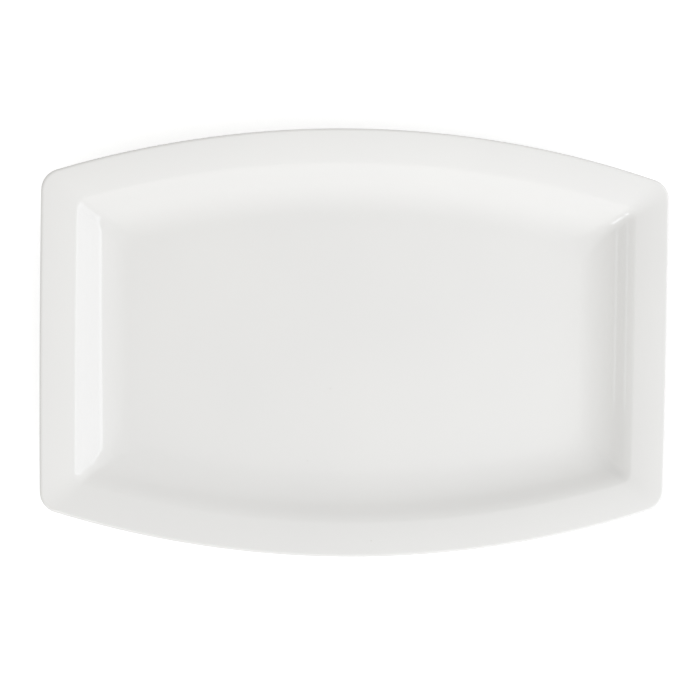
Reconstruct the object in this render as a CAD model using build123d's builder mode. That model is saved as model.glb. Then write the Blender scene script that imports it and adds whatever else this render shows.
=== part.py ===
from build123d import *

import os
from math import ceil, cos, dist, radians, sin, tan

from numpy import interp

# A china serving platter: a rectangle with bowed long sides, a sloping rim and a deep well on a foot ring.
#
# Three pieces make it up. The porcelain body carries the shape. A glassy coat of glaze wraps its face, its
# rim and its back as far as the foot ring. A separate glaze lies in the recess inside the ring. The ring
# itself stays bare, because the platter stands on it in the kiln.
#
# Millimetres. +X is along the platter, +Y across it, +Z up. The origin is the centre of the footprint, in
# the plane that the foot ring stands on.
#
# The section is drawn as (inset, height) points. An inset is how far inside the platter's own outline the
# surface passes at that height. Slopes are in degrees and fall inwards.

# Outline
LENGTH = 355.6  # 14 in
WIDTH = 241.3  # 9 1/2 in, at the top of the bow
END_WIDTH = 184.2  # between the corners of one end, before they are rounded
END_BOW = 0.5  # how far the middle of an end stands out past its corners

# Section, over the glaze
HEIGHT = 25.4  # 1 in
WALL = 4.8
EDGE_RADIUS = 1.5  # the rim thins to a full-round edge
EDGE_SLOPE = 8.0  # of the rim at its edge
RIM_CROWN = (107.0, 17.0)  # the rim, shoulder and upper wall each curve down to a slope: radius, slope
SHOULDER = (8.0, 30.0)
UPPER_WALL = (30.0, 39.0)
COVE_RADIUS = 33.0  # where the wall runs out into the floor
RIM_BACK_SLOPE = 16.0  # steeper than the rim's face, so the rim grows thicker from its edge inwards
UNDER_SHOULDER_RADIUS = 10.0
LOWER_SLOPE = 18.0  # of the back above the foot ring
LOWER_RADIUS = 30.0  # between the back of the wall and that slope

# Foot ring
FOOT_HEIGHT = 3.3  # inside the ring
FOOT_TOP = 4.6  # outside it
FOOT_INSET = 40.0  # to the ring's outer face, at the bottom
FOOT_WIDTH = 5.0
FOOT_SLOPE = 80.0
FOOT_FILLET = 3.0  # between the ring and the back above it
FOOT_EDGE_RADIUS = 0.8
RECESS_FILLET = 1.5

# Glaze
GLAZE = 0.25
GLAZE_LINE = 1.4  # height of the glaze's lower edge on the ring

# Corner radius of the outline, by inset
FACE_CORNERS = {0: 12.0, 18: 7.0, 24: 5.5, 37: 8.0, 49: 15.0}
BACK_CORNERS = {0: 12.0, 15: 11.0, FOOT_INSET: 9.0}
RECESS_CORNERS = {FOOT_INSET + FOOT_WIDTH: 6.0}

LEVEL_STEP = 5.0  # longest distance between two levels of a surface


def step(point, slope, distance):
    """The point that lies at a distance above another, square to a slope."""
    return point[0] + distance * sin(radians(slope)), point[1] + distance * cos(radians(slope))


def meet(point_a, slope_a, point_b, slope_b):
    """Where two slopes meet, each given by a point on it."""
    fall_a, fall_b = tan(radians(slope_a)), tan(radians(slope_b))
    inset = (point_a[1] - point_b[1] + point_a[0] * fall_a - point_b[0] * fall_b) / (fall_a - fall_b)
    return inset, point_a[1] - (inset - point_a[0]) * fall_a


def bend(centre, radius, slope_a, slope_b, count):
    """Points of an arc from one slope to another."""
    turn = (slope_b - slope_a) / (count - 1)
    return [step(centre, slope_a + turn * i, radius) for i in range(count)]


def join(point_a, slope_a, point_b, slope_b, lift, skin=0, count=5):
    """Points of the arc that joins two slopes. Its centre lies above them by lift, or below them where
    lift is negative. The arc runs on the surface that lies above the slopes by skin."""
    centre = meet(step(point_a, slope_a, lift), slope_a, step(point_b, slope_b, lift), slope_b)
    return bend(centre, skin - lift, slope_a, slope_b, count)


def levels(points, corners):
    """(inset, height, corner radius) of the points and of enough points between them."""
    for start, end in zip(points, points[1:]):
        count = ceil(dist(start, end) / LEVEL_STEP)
        for i in range(count):
            inset, height = (a + (b - a) * i / count for a, b in zip(start, end))
            yield inset, height, interp(inset, list(corners), list(corners.values()))
    inset, height = points[-1]
    yield inset, height, interp(inset, list(corners), list(corners.values()))


def outline(inset, height, corner):
    """The platter's outline at one level."""
    half_length, half_width, half_end = LENGTH / 2, WIDTH / 2, END_WIDTH / 2
    corner_x = half_length - END_BOW
    with BuildSketch(Plane.XY.offset(height)) as sketch:
        with BuildLine():
            for side in (1, -1):
                ThreePointArc(
                    (-corner_x, side * half_end), (0, side * half_width), (corner_x, side * half_end)
                )
                ThreePointArc(
                    (side * corner_x, -half_end), (side * half_length, 0), (side * corner_x, half_end)
                )
        make_face()
        offset(amount=-inset, kind=Kind.INTERSECTION, mode=Mode.REPLACE)
        fillet(sketch.vertices(), corner)
    return sketch.sketch.face()


# Middle of the rim's round edge, and the points where it meets the rim's top and back
EDGE_CENTRE = (EDGE_RADIUS, HEIGHT - EDGE_RADIUS)
RIM_EDGE = step(EDGE_CENTRE, EDGE_SLOPE, EDGE_RADIUS)
RIM_BACK = step(EDGE_CENTRE, RIM_BACK_SLOPE, -EDGE_RADIUS)


def roll(skin, count=5):
    """Points of the rim, shoulder and upper wall at a depth under the glaze, from the edge inwards. Each is
    an arc that starts where the one before it ends."""
    points = []
    point, slope = RIM_EDGE, EDGE_SLOPE
    for radius, end_slope in (RIM_CROWN, SHOULDER, UPPER_WALL):
        centre = step(point, slope, -radius)
        points += bend(centre, radius - skin, slope, end_slope, count)[1:]
        point, slope = step(centre, end_slope, radius), end_slope
    return points


# Points that the straight slopes of the section pass through
WALL_TOP, WALL_SLOPE = roll(0)[-1], UPPER_WALL[1]
WALL_BACK = step(WALL_TOP, WALL_SLOPE, -WALL)
FLOOR = (0, FOOT_HEIGHT + WALL)
LOWER_BACK = (FOOT_INSET, FOOT_TOP)
FOOT_OUTER = (FOOT_INSET, 0)
FOOT_INNER = (FOOT_INSET + FOOT_WIDTH, 0)
RECESS = (0, FOOT_HEIGHT)


def outside(skin):
    """Levels of the outer surface at a depth under the glaze: from the floor of the well up over the rim
    and down the back to the bottom of the foot ring."""
    cove = join(FLOOR, 0, WALL_TOP, WALL_SLOPE, COVE_RADIUS, -skin, count=8)
    edge = bend(EDGE_CENTRE, EDGE_RADIUS - skin, EDGE_SLOPE, -90, count=5)
    under_edge = bend(EDGE_CENTRE, EDGE_RADIUS - skin, -90, RIM_BACK_SLOPE - 180, count=5)
    under_shoulder = join(RIM_BACK, RIM_BACK_SLOPE, WALL_BACK, WALL_SLOPE, -UNDER_SHOULDER_RADIUS, skin)
    lower = join(WALL_BACK, WALL_SLOPE, LOWER_BACK, LOWER_SLOPE, LOWER_RADIUS, skin)
    root = join(LOWER_BACK, LOWER_SLOPE, FOOT_OUTER, FOOT_SLOPE, -FOOT_FILLET, skin)
    toe = join(FOOT_OUTER, FOOT_SLOPE, (0, 0), 0, FOOT_EDGE_RADIUS)
    yield from levels(cove + roll(skin)[::-1] + edge, FACE_CORNERS)
    yield from levels(under_edge[1:] + under_shoulder + lower + root + toe, BACK_CORNERS)


def recess(skin):
    """Levels of the recess inside the foot ring at a depth under the glaze, from the bottom up."""
    heel = join((0, 0), 0, FOOT_INNER, -FOOT_SLOPE, FOOT_EDGE_RADIUS)
    root = join(FOOT_INNER, -FOOT_SLOPE, RECESS, 0, -RECESS_FILLET, skin)
    yield from levels(heel + root, RECESS_CORNERS)


def outlines(surface):
    """The platter's outline at every level of a surface."""
    return [outline(*level) for level in surface]


os.makedirs("parts", exist_ok=True)

# Porcelain body with its foot ring, as it comes out of the biscuit kiln
with BuildPart() as porcelain_body:
    loft(outlines(outside(GLAZE)), ruled=True)
    loft(outlines(recess(GLAZE)), ruled=True, mode=Mode.SUBTRACT)
porcelain_body.part.label = "porcelain_body"
export_step(porcelain_body.part, "parts/porcelain_body.step")

# Glaze over the face, the rim and the back
with BuildPart() as glaze_coat:
    loft(outlines(outside(0)), ruled=True)
    loft(outlines(outside(GLAZE)), ruled=True, mode=Mode.SUBTRACT)
    split(bisect_by=Plane.XY.offset(GLAZE_LINE), keep=Keep.TOP)
glaze_coat.part.label = "glaze_coat"
export_step(glaze_coat.part, "parts/glaze_coat.step")

# Glaze in the recess inside the foot ring
with BuildPart() as foot_recess_glaze:
    loft(outlines(recess(GLAZE)), ruled=True)
    loft(outlines(recess(0)), ruled=True, mode=Mode.SUBTRACT)
    split(bisect_by=Plane.XY.offset(GLAZE_LINE), keep=Keep.TOP)
foot_recess_glaze.part.label = "foot_recess_glaze"
export_step(foot_recess_glaze.part, "parts/foot_recess_glaze.step")
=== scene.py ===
"""Looks of a china serving platter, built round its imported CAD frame. Metres, +Z up."""

import math

import bpy
import numpy as np
from mathutils import Euler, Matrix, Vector


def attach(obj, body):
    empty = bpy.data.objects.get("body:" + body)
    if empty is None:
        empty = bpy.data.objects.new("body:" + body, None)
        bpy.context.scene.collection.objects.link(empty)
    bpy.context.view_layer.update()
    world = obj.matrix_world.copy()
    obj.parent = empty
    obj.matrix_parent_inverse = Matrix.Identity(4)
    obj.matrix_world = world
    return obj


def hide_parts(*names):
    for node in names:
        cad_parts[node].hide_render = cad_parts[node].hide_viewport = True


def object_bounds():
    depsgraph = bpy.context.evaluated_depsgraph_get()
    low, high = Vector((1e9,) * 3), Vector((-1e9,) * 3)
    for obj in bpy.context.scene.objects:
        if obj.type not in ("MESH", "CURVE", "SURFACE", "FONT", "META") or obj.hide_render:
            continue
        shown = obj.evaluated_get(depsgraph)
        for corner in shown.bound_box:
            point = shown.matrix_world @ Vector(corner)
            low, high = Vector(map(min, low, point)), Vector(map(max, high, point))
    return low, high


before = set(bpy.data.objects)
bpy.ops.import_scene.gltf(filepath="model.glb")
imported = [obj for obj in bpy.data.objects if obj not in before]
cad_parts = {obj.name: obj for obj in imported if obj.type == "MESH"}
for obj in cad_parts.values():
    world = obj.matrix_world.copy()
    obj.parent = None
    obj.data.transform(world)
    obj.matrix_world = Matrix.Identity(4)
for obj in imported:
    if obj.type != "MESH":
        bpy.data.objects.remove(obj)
cad_low, cad_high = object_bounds()

# Outline: its length, its width and the height come from the frame
HALF_LENGTH = (cad_high.x - cad_low.x) / 2
HALF_WIDTH = (cad_high.y - cad_low.y) / 2
HEIGHT = cad_high.z - cad_low.z
HALF_END = 0.0921  # half the width between the corners of one end, before they are rounded
END_BOW = 0.0005

# Section, over the glaze: slopes fall inwards
WALL = 0.0048
EDGE_RADIUS = 0.0015
EDGE_SLOPE = math.radians(8)
ROLL = ((0.107, 17), (0.008, 30), (0.030, 39))  # rim, shoulder and upper wall: radius, slope at its end
WALL_SLOPE = math.radians(ROLL[-1][1])
COVE_RADIUS = 0.033
RIM_BACK_SLOPE = math.radians(16)
UNDER_SHOULDER_RADIUS = 0.010
LOWER_SLOPE = math.radians(18)
LOWER_RADIUS = 0.030

# Foot ring
FOOT_HEIGHT = 0.0033
FOOT_TOP = 0.0046
FOOT_INSET = 0.040
FOOT_WIDTH = 0.005
FOOT_SLOPE = math.radians(80)
FOOT_FILLET = 0.003
FOOT_EDGE_RADIUS = 0.0008
RECESS_FILLET = 0.0015

# Glaze
GLAZE = 0.00025
GLAZE_LINE = 0.0014

# Corner radius of the outline, by inset
FACE_CORNERS = {0: 0.012, 0.018: 0.007, 0.024: 0.0055, 0.037: 0.008, 0.049: 0.015}
BACK_CORNERS = {0: 0.012, 0.015: 0.011, FOOT_INSET: 0.009}
RECESS_CORNERS = {FOOT_INSET + FOOT_WIDTH: 0.006}

# Mesh: points on a quarter of the outline
END_POINTS = 22
CORNER_POINTS = 14
SIDE_POINTS = 42

# Mesh: levels on each arc of the section, and the longest step between two levels
COVE_LEVELS = 30
ARC_LEVELS = 16
RIM_LEVELS = 12
FOOT_LEVELS = 8
LEVEL_STEP = 0.0016

# How far the platter is out of true, and the waves that it bends in: radians per metre along X and along
# Y, phase, share
WARP = 0.00012
WARP_WAVES = ((13, 9, 1.0, 1.0), (31, -17, 0.0, 0.6), (0, 41, 2.0, 0.5))

# Glaze finish: lengths of its patches and waves, and heights of the waves
GLAZE_TONES = ((0.777, 0.772, 0.760), (0.792, 0.787, 0.772))
GLAZE_TONE_PATCH = 0.09
GLAZE_ROUGHNESS = (0.05, 0.09)
GLAZE_GLOSS_PATCH = 0.03
GLAZE_WAVE, GLAZE_WAVE_HEIGHT = 0.012, 0.00002
GLAZE_RIPPLE, GLAZE_RIPPLE_HEIGHT = 0.0025, 0.0000015
GLAZE_IOR = 1.52
SPECK_SPACING = 0.025
SPECK_RADIUS = 0.0004
SPECK_COLOUR = (0.42, 0.38, 0.33)

# Bare porcelain finish
BISQUE_TONES = ((0.70, 0.685, 0.64), (0.76, 0.745, 0.70))
BISQUE_GRAIN, BISQUE_GRAIN_HEIGHT = 0.0006, 0.00004
BISQUE_ROUGHNESS = 0.75

NOISE_RANGE = (0.3, 0.7)  # where most of a noise's values lie
COLOUR_FACTOR, COLOUR_A, COLOUR_B, COLOUR_RESULT = 0, 6, 7, 2  # sockets of a Mix node set to colours


# ---------------------------------------------------------------- section


def above(point, slope, distance):
    """The point at a distance above another, square to a slope, as (inset, height)."""
    return point[0] + distance * math.sin(slope), point[1] + distance * math.cos(slope)


def meet(point_a, slope_a, point_b, slope_b):
    """Where two slopes meet, each given by a point on it."""
    fall_a, fall_b = math.tan(slope_a), math.tan(slope_b)
    inset = (point_a[1] - point_b[1] + point_a[0] * fall_a - point_b[0] * fall_b) / (fall_a - fall_b)
    return inset, point_a[1] - (inset - point_a[0]) * fall_a


def bend(centre, radius, slope_a, slope_b, count):
    """Points of an arc from one slope to another."""
    return [above(centre, slope, radius) for slope in np.linspace(slope_a, slope_b, count)]


def join(point_a, slope_a, point_b, slope_b, lift, skin=0.0, count=ARC_LEVELS):
    """Points of the arc that joins two slopes, with its centre above them by lift, on the surface that
    lies above them by skin."""
    centre = meet(above(point_a, slope_a, lift), slope_a, above(point_b, slope_b, lift), slope_b)
    return bend(centre, skin - lift, slope_a, slope_b, count)


def filled(points):
    """The same points, with more between those that are further apart than a step."""
    full = []
    for start, end in zip(points, points[1:]):
        count = max(1, math.ceil(math.dist(start, end) / LEVEL_STEP))
        full += [tuple(p) for p in np.linspace(start, end, count, endpoint=False)]
    return full + [points[-1]]


EDGE_CENTRE = (EDGE_RADIUS, HEIGHT - EDGE_RADIUS)
RIM_EDGE = above(EDGE_CENTRE, EDGE_SLOPE, EDGE_RADIUS)
RIM_BACK = above(EDGE_CENTRE, RIM_BACK_SLOPE, -EDGE_RADIUS)


def roll(skin):
    """The rim, shoulder and upper wall at a depth under the glaze, from the rim's edge inwards."""
    points = []
    point, slope = RIM_EDGE, EDGE_SLOPE
    for radius, degrees in ROLL:
        end = math.radians(degrees)
        centre = above(point, slope, -radius)
        points += bend(centre, radius - skin, slope, end, RIM_LEVELS)[1:]
        point, slope = above(centre, end, radius), end
    return points


WALL_TOP = roll(0)[-1]
WALL_BACK = above(WALL_TOP, WALL_SLOPE, -WALL)
FLOOR = (0.0, FOOT_HEIGHT + WALL)
LOWER_BACK = (FOOT_INSET, FOOT_TOP)
FOOT_OUTER = (FOOT_INSET, 0.0)
FOOT_INNER = (FOOT_INSET + FOOT_WIDTH, 0.0)
RECESS = (0.0, FOOT_HEIGHT)


def face(skin):
    """The face at a depth under the glaze, from the floor's edge out to the rim's outermost point."""
    cove = join(FLOOR, 0, WALL_TOP, WALL_SLOPE, COVE_RADIUS, -skin, COVE_LEVELS)
    edge = bend(EDGE_CENTRE, EDGE_RADIUS - skin, EDGE_SLOPE, -math.pi / 2, RIM_LEVELS)
    return filled(cove + roll(skin)[::-1] + edge)


def back(skin):
    """The back at a depth under the glaze, from the rim's outermost point down to the foot's bottom."""
    edge = bend(EDGE_CENTRE, EDGE_RADIUS - skin, -math.pi / 2, RIM_BACK_SLOPE - math.pi, RIM_LEVELS)
    shoulder = join(RIM_BACK, RIM_BACK_SLOPE, WALL_BACK, WALL_SLOPE, -UNDER_SHOULDER_RADIUS, skin)
    lower = join(WALL_BACK, WALL_SLOPE, LOWER_BACK, LOWER_SLOPE, LOWER_RADIUS, skin)
    root = join(LOWER_BACK, LOWER_SLOPE, FOOT_OUTER, FOOT_SLOPE, -FOOT_FILLET, skin, FOOT_LEVELS)
    toe = join(FOOT_OUTER, FOOT_SLOPE, (0, 0), 0, FOOT_EDGE_RADIUS, 0, FOOT_LEVELS)
    return filled(edge + shoulder + lower + root + toe)


def recess(skin):
    """The recess inside the foot ring, from the ring's bottom up to its ceiling."""
    heel = join((0, 0), 0, FOOT_INNER, -FOOT_SLOPE, FOOT_EDGE_RADIUS, 0, FOOT_LEVELS)
    root = join(FOOT_INNER, -FOOT_SLOPE, RECESS, 0, -RECESS_FILLET, skin, FOOT_LEVELS)
    return filled(heel + root)


def glazed(points):
    """The part of a surface above the glaze line, cut off level. Its height passes the line once."""
    kept = [p for p in points if p[1] > GLAZE_LINE]
    for start, end in zip(points, points[1:]):
        if (start[1] > GLAZE_LINE) != (end[1] > GLAZE_LINE):
            share = (GLAZE_LINE - start[1]) / (end[1] - start[1])
            cut = (start[0] + (end[0] - start[0]) * share, GLAZE_LINE)
            return kept + [cut] if start[1] > GLAZE_LINE else [cut] + kept
    return kept


# ---------------------------------------------------------------- outline


def arc_radius(half_chord, rise):
    return (half_chord**2 + rise**2) / (2 * rise)


SIDE_RADIUS = arc_radius(HALF_LENGTH - END_BOW, HALF_WIDTH - HALF_END)
END_RADIUS = arc_radius(HALF_END, END_BOW)
END_CENTRE = HALF_LENGTH - END_RADIUS
SIDE_CENTRE = HALF_WIDTH - SIDE_RADIUS


def corner_centre(end_radius, side_radius):
    """The point in the +X +Y corner at these distances from the centres of the end's and side's arcs."""
    gap = math.hypot(END_CENTRE, SIDE_CENTRE)
    along = (end_radius**2 - side_radius**2 + gap**2) / (2 * gap)
    across = math.sqrt(end_radius**2 - along**2)
    unit = Vector((-END_CENTRE, SIDE_CENTRE)) / gap
    return Vector((END_CENTRE, 0)) + unit * along + Vector((-unit.y, unit.x)) * across


def arc(centre, radius, start, end, count):
    turns = np.linspace(start, end, count, endpoint=False)
    return [(centre[0] + radius * math.cos(t), centre[1] + radius * math.sin(t)) for t in turns]


def ring(inset, corner):
    """The outline at an inset as (x, y) points, anticlockwise from the middle of the +X end."""
    middle = corner_centre(END_RADIUS - inset - corner, SIDE_RADIUS - inset - corner)
    end_turn = math.atan2(middle.y, middle.x - END_CENTRE)
    side_turn = math.atan2(middle.y - SIDE_CENTRE, middle.x)
    quarter = arc((END_CENTRE, 0), END_RADIUS - inset, 0, end_turn, END_POINTS)
    quarter += arc(middle, corner, end_turn, side_turn, CORNER_POINTS)
    quarter += arc((0, SIDE_CENTRE), SIDE_RADIUS - inset, side_turn, math.pi / 2, SIDE_POINTS)
    quarter = np.array(quarter + [(0, HALF_WIDTH - inset)])
    half = np.vstack((quarter[:-1], quarter[::-1] * (-1, 1)))
    return np.vstack((half[:-1], half[::-1][:-1] * (1, -1)))


def rings(points, corners):
    """A surface's rings as an array of levels by points by (x, y, z)."""
    surface = []
    for inset, height in points:
        xy = ring(inset, np.interp(inset, list(corners), list(corners.values())))
        surface.append(np.column_stack((xy, np.full(len(xy), height))))
    return np.array(surface)


# ---------------------------------------------------------------- mesh


class Skin:
    """A mesh made of rings of points and of the patches that close them."""

    def __init__(self):
        self.points = []
        self.faces = []

    def add(self, points):
        first = len(self.points)
        self.points += [tuple(p) for p in points]
        return np.arange(first, len(self.points))

    def band(self, ring_a, ring_b):
        """Faces between two rings of vertex numbers."""
        next_a, next_b = np.roll(ring_a, -1), np.roll(ring_b, -1)
        self.faces += np.column_stack((ring_a, ring_b, next_b, next_a)).tolist()

    def bands(self, surface):
        """Adds a surface's rings, joined in turn, and gives the vertex numbers of each."""
        numbers = [self.add(level) for level in surface]
        for ring_a, ring_b in zip(numbers, numbers[1:]):
            self.band(ring_a, ring_b)
        return numbers

    def patch(self, edge, up):
        """Closes a ring with a grid that runs from side to side and from end to end. The grid's corners
        are in the middle of the ring's rounded ones."""
        turn = END_POINTS + CORNER_POINTS // 2
        quarter = len(edge) // 4
        loop = np.roll(edge, turn)
        rows, columns = 2 * turn, 2 * (quarter - turn)
        right = loop[: rows + 1]
        top = loop[rows : rows + columns + 1][::-1]
        left = loop[rows + columns : 2 * rows + columns + 1][::-1]
        bottom = np.append(loop[2 * rows + columns :], loop[0])
        place = np.array(self.points)
        v = np.linspace(0, 1, rows + 1)[:, None, None]
        u = np.linspace(0, 1, columns + 1)[None, :, None]
        grid = (1 - v) * place[bottom][None] + v * place[top][None]
        grid += (1 - u) * place[left][:, None] + u * place[right][:, None]
        grid -= (1 - u) * (1 - v) * place[bottom[0]] + u * (1 - v) * place[bottom[-1]]
        grid -= (1 - u) * v * place[top[0]] + u * v * place[top[-1]]
        number = np.zeros((rows + 1, columns + 1), int)
        number[1:-1, 1:-1] = self.add(grid[1:-1, 1:-1].reshape(-1, 3)).reshape(rows - 1, columns - 1)
        number[0], number[-1], number[:, 0], number[:, -1] = bottom, top, left, right
        cells = np.stack((number[:-1, :-1], number[:-1, 1:], number[1:, 1:], number[1:, :-1]), axis=-1)
        cells = cells.reshape(-1, 4)
        self.faces += (cells if up else cells[:, ::-1]).tolist()

    def piece(self, name, material):
        mesh = bpy.data.meshes.new(name)
        mesh.from_pydata([settled(p) for p in self.points], [], self.faces)
        mesh.validate()
        mesh.shade_smooth()
        mesh.materials.append(material)
        made = bpy.data.objects.new(name, mesh)
        bpy.context.scene.collection.objects.link(made)
        return made


def settled(point):
    """A point after firing: the platter ends up a little out of true, but still stands flat."""
    x, y, z = point
    share = min(1, z / FOOT_HEIGHT)
    waves = (size * math.sin(along * x + across * y + phase) for along, across, phase, size in WARP_WAVES)
    return x, y, z + WARP * share * sum(waves)


def shell(upper, lower):
    """A thin closed skin between two surfaces. Each is rings that widen from one closed by a patch."""
    skin = Skin()
    above_rings, below_rings = skin.bands(upper), skin.bands(lower[::-1])
    skin.band(above_rings[-1], below_rings[0])
    skin.patch(above_rings[0], up=True)
    skin.patch(below_rings[-1], up=False)
    return skin


def glaze_coat(material):
    """The glaze over the face, the rim and the back as far as the foot ring."""
    glass, seat = (
        np.vstack((rings(face(depth), FACE_CORNERS), rings(glazed(back(depth))[1:], BACK_CORNERS)))
        for depth in (0, GLAZE)
    )
    return shell(glass, seat).piece("platter_glaze", material)


def recess_glaze(material):
    """The glaze in the recess inside the foot ring."""
    seat, glass = (rings(glazed(recess(depth))[::-1], RECESS_CORNERS) for depth in (GLAZE, 0))
    return shell(seat, glass).piece("recess_glaze", material)


def porcelain(material):
    """The bare porcelain under the glaze, with its foot ring."""
    skin = Skin()
    surfaces = (
        rings(face(GLAZE), FACE_CORNERS),
        rings(back(GLAZE)[1:], BACK_CORNERS),
        rings(recess(GLAZE), RECESS_CORNERS),
    )
    numbers = skin.bands(np.vstack(surfaces))
    skin.patch(numbers[0], up=True)
    skin.patch(numbers[-1], up=False)
    return skin.piece("bare_porcelain", material)


# ---------------------------------------------------------------- materials


class Nodes:
    """Builds a material's node tree."""

    def __init__(self, name):
        self.material = bpy.data.materials.new(name)
        self.material.use_nodes = True
        self.tree = self.material.node_tree
        self.shader = self.tree.nodes["Principled BSDF"]
        self.place = self.add("ShaderNodeTexCoord").outputs["Object"]

    def add(self, kind, **settings):
        node = self.tree.nodes.new(kind)
        for key, value in settings.items():
            setattr(node, key, value)
        return node

    def link(self, output, target):
        self.tree.links.new(output, target)

    def noise(self, wavelength, detail=2.0):
        node = self.add("ShaderNodeTexNoise")
        node.inputs["Scale"].default_value = 1 / wavelength
        node.inputs["Detail"].default_value = detail
        self.link(self.place, node.inputs["Vector"])
        return node.outputs["Fac"]

    def tones(self, noise, colours):
        """A colour between two, by a noise."""
        node = self.add("ShaderNodeValToRGB")
        for i, (place, colour) in enumerate(zip(NOISE_RANGE, colours)):
            node.color_ramp.elements[i].position = place
            node.color_ramp.elements[i].color = (*colour, 1)
        self.link(noise, node.inputs["Fac"])
        return node.outputs["Color"]

    def cover(self, share, colour, paint):
        """A colour with another laid over a share of it."""
        node = self.add("ShaderNodeMix", data_type="RGBA")
        self.link(share, node.inputs[COLOUR_FACTOR])
        self.link(colour, node.inputs[COLOUR_A])
        node.inputs[COLOUR_B].default_value = (*paint, 1)
        return node.outputs[COLOUR_RESULT]

    def specks(self, spacing, radius):
        """How far into a sparse speck a place lies: 0 between them, 1 in their middles."""
        node = self.add("ShaderNodeTexVoronoi")
        node.inputs["Scale"].default_value = 1 / spacing
        self.link(self.place, node.inputs["Vector"])
        fade = self.add("ShaderNodeMapRange")
        fade.inputs["From Min"].default_value = radius / spacing
        fade.inputs["From Max"].default_value = 0.5 * radius / spacing
        self.link(node.outputs["Distance"], fade.inputs["Value"])
        return fade.outputs["Result"]

    def spread(self, value, low, high):
        """A value from 0 to 1 stretched to run from low to high."""
        node = self.add("ShaderNodeMapRange")
        node.inputs["To Min"].default_value = low
        node.inputs["To Max"].default_value = high
        self.link(value, node.inputs["Value"])
        return node.outputs["Result"]

    def bump(self, height, distance, before=None):
        node = self.add("ShaderNodeBump")
        node.inputs["Distance"].default_value = distance
        self.link(height, node.inputs["Height"])
        if before:
            self.link(before, node.inputs["Normal"])
        return node.outputs["Normal"]


def porcelain_glaze():
    """Clear glass over white porcelain: a warm white, a little uneven, with the faint waves of a glaze and
    a few iron specks."""
    nodes = Nodes("glaze")
    colour = nodes.tones(nodes.noise(GLAZE_TONE_PATCH), GLAZE_TONES)
    colour = nodes.cover(nodes.specks(SPECK_SPACING, SPECK_RADIUS), colour, SPECK_COLOUR)
    nodes.link(colour, nodes.shader.inputs["Base Color"])
    roughness = nodes.spread(nodes.noise(GLAZE_GLOSS_PATCH), *GLAZE_ROUGHNESS)
    nodes.link(roughness, nodes.shader.inputs["Roughness"])
    waves = nodes.bump(nodes.noise(GLAZE_WAVE, detail=1.0), GLAZE_WAVE_HEIGHT)
    ripple = nodes.bump(nodes.noise(GLAZE_RIPPLE, detail=1.0), GLAZE_RIPPLE_HEIGHT, waves)
    nodes.link(ripple, nodes.shader.inputs["Normal"])
    nodes.shader.inputs["IOR"].default_value = GLAZE_IOR
    return nodes.material


def bisque():
    """Porcelain as fired: matte, slightly warm and finely grained."""
    nodes = Nodes("bisque")
    grain = nodes.noise(BISQUE_GRAIN, detail=3.0)
    nodes.link(nodes.tones(grain, BISQUE_TONES), nodes.shader.inputs["Base Color"])
    nodes.shader.inputs["Roughness"].default_value = BISQUE_ROUGHNESS
    nodes.link(nodes.bump(grain, BISQUE_GRAIN_HEIGHT), nodes.shader.inputs["Normal"])
    return nodes.material


def floor_finish():
    """A matte pale floor, lifted to white for the camera alone, so that it doesn't light the platter."""
    nodes = Nodes("pale_floor")
    nodes.shader.inputs["Base Color"].default_value = FLOOR_COLOUR
    nodes.shader.inputs["Roughness"].default_value = FLOOR_ROUGHNESS
    nodes.shader.inputs["Specular IOR Level"].default_value = 0.0
    nodes.shader.inputs["Emission Color"].default_value = (1, 1, 1, 1)
    seen = nodes.add("ShaderNodeLightPath").outputs["Is Camera Ray"]
    nodes.link(nodes.spread(seen, 0.0, FLOOR_GLOW), nodes.shader.inputs["Emission Strength"])
    return nodes.material


# ---------------------------------------------------------------- stage

FLOOR_SIZE = 12.0
FLOOR_COLOUR = (0.75, 0.75, 0.75, 1)
FLOOR_ROUGHNESS = 0.9
FLOOR_GLOW = 0.5

# Camera: how the platter is turned as the camera sees it, and how far the camera is from the middle of the
# rim along its own axes
CAMERA_TURN = Euler((math.radians(2.5), math.radians(6.4), math.radians(-0.41)))
CAMERA_CENTRE = Vector((-0.0054, -0.00353, 1.0))
CAMERA_LENS = 91.33
SENSOR = 36.0

# Soft light from all round: azimuth and elevation of its middle in degrees, how narrow it is, strength
SOFT_LIGHTS = (
    (0, 90, 1, 0.44),
    (45, 20, 3, 1.40),
    (180, 20, 3, 0.36),
    (225, 20, 3, 0.49),
    (270, 20, 3, 1.17),
)
SOFT_COLOUR = (1.003, 1.0, 0.986)

# Light panels: centre, the way it faces, width and height, strength
KEY_FACING = (-0.72, 0.41, -0.42)
PANELS = {
    # The highlight in the left wall, brighter along its edges
    "key_panel": ((0.742, -0.202, 0.371), KEY_FACING, (0.84, 0.49), 1.47),
    "key_top": ((0.624, -0.135, 0.639), KEY_FACING, (0.84, 0.11), 2.3),
    # The faint streak in the right wall
    "left_panel": ((-0.85, 0.09, 0.62), (1.0, -0.05, -0.58), (0.42, 0.09), 1.0),
    # The glint in the top right corner
    "corner_panel": ((-0.23, -0.40, 0.54), (0.38, 0.47, -0.52), (0.13, 0.11), 4.4),
}
PANEL_COLOUR = (0.968, 0.997, 1.07)


def add_floor():
    half = FLOOR_SIZE / 2
    corners = [(-half, -half, 0), (half, -half, 0), (half, half, 0), (-half, half, 0)]
    mesh = bpy.data.meshes.new("floor")
    mesh.from_pydata(corners, [], [(0, 1, 2, 3)])
    mesh.materials.append(floor_finish())
    floor = bpy.data.objects.new("floor", mesh)
    bpy.context.scene.collection.objects.link(floor)


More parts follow.
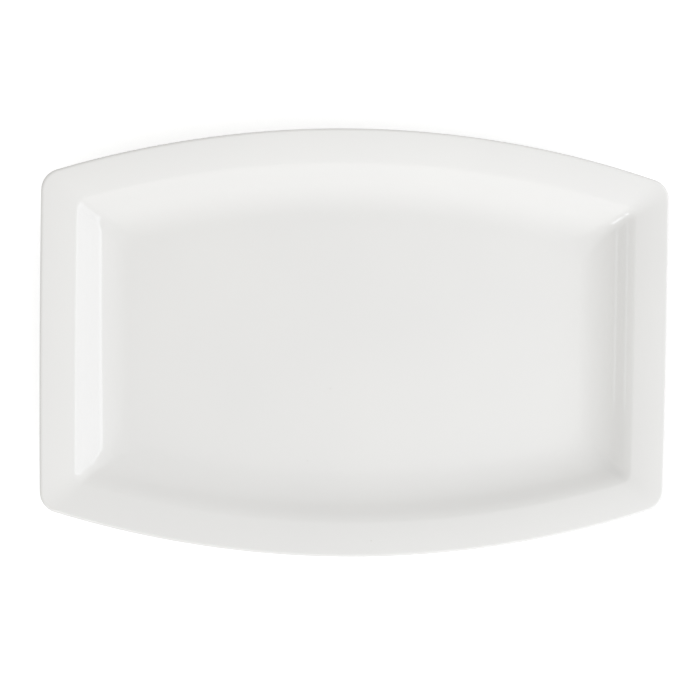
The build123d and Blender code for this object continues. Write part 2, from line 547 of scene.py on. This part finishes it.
def add_camera():
    """The camera looks almost straight down at the rim, from a little to the left and to the back."""
    data = bpy.data.cameras.new("camera")
    data.sensor_width = SENSOR
    data.lens = CAMERA_LENS
    camera = bpy.data.objects.new("camera", data)
    turn = CAMERA_TURN.to_matrix().transposed()
    rim = Vector((0, 0, EDGE_CENTRE[1]))
    camera.matrix_world = turn.to_4x4()
    camera.location = rim + turn @ CAMERA_CENTRE
    bpy.context.scene.collection.objects.link(camera)
    bpy.context.scene.camera = camera


def add_panel(name, centre, facing, size, radiance):
    """A soft light panel of an even radiance."""
    data = bpy.data.lights.new(name, "AREA")
    data.shape = "RECTANGLE"
    data.size, data.size_y = size
    data.energy = radiance * math.pi * size[0] * size[1]
    data.color = PANEL_COLOUR
    light = bpy.data.objects.new(name, data)
    light.location = centre
    light.rotation_euler = Vector(facing).to_track_quat("-Z", "Y").to_euler()
    light.visible_camera = False
    bpy.context.scene.collection.objects.link(light)


def add_world():
    """White to look at. As a light it is brighter in some directions than in others, with no edges."""
    world = bpy.data.worlds.new("studio")
    world.use_nodes = True
    tree = world.node_tree

    def math_node(operation, *values):
        node = tree.nodes.new("ShaderNodeMath")
        node.operation = operation
        for value, socket in zip(values, node.inputs):
            if isinstance(value, bpy.types.NodeSocket):
                tree.links.new(value, socket)
            else:
                socket.default_value = value
        return node.outputs[0]

    direction = tree.nodes.new("ShaderNodeTexCoord").outputs["Generated"]
    total = 0.0
    for azimuth, elevation, narrowness, strength in SOFT_LIGHTS:
        facing = tree.nodes.new("ShaderNodeVectorMath")
        facing.operation = "DOT_PRODUCT"
        turn = Euler((0, math.radians(-elevation), math.radians(azimuth)))
        facing.inputs[1].default_value = turn.to_matrix() @ Vector((1, 0, 0))
        tree.links.new(direction, facing.inputs[0])
        lobe = math_node("POWER", math_node("MAXIMUM", facing.outputs["Value"], 0.0), narrowness)
        total = math_node("MULTIPLY_ADD", lobe, strength, total)
    seen = tree.nodes.new("ShaderNodeLightPath").outputs["Is Camera Ray"]
    background = tree.nodes["Background"]
    tree.links.new(math_node("MAXIMUM", total, seen), background.inputs["Strength"])
    background.inputs["Color"].default_value = (*SOFT_COLOUR, 1)
    bpy.context.scene.world = world


def main():
    glaze = porcelain_glaze()
    coat, base, body = glaze_coat(glaze), recess_glaze(glaze), porcelain(bisque())
    for piece, node, slot in (
        (coat, "glaze_coat", "glaze"),
        (base, "foot_recess_glaze", "glaze"),
        (body, "porcelain_body", "bisque"),
    ):
        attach(piece, "root")
        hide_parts(node)
    add_floor()
    add_camera()
    add_world()
    for name, settings in PANELS.items():
        add_panel(name, *settings)
    bpy.context.scene.view_settings.view_transform = "Standard"


main()
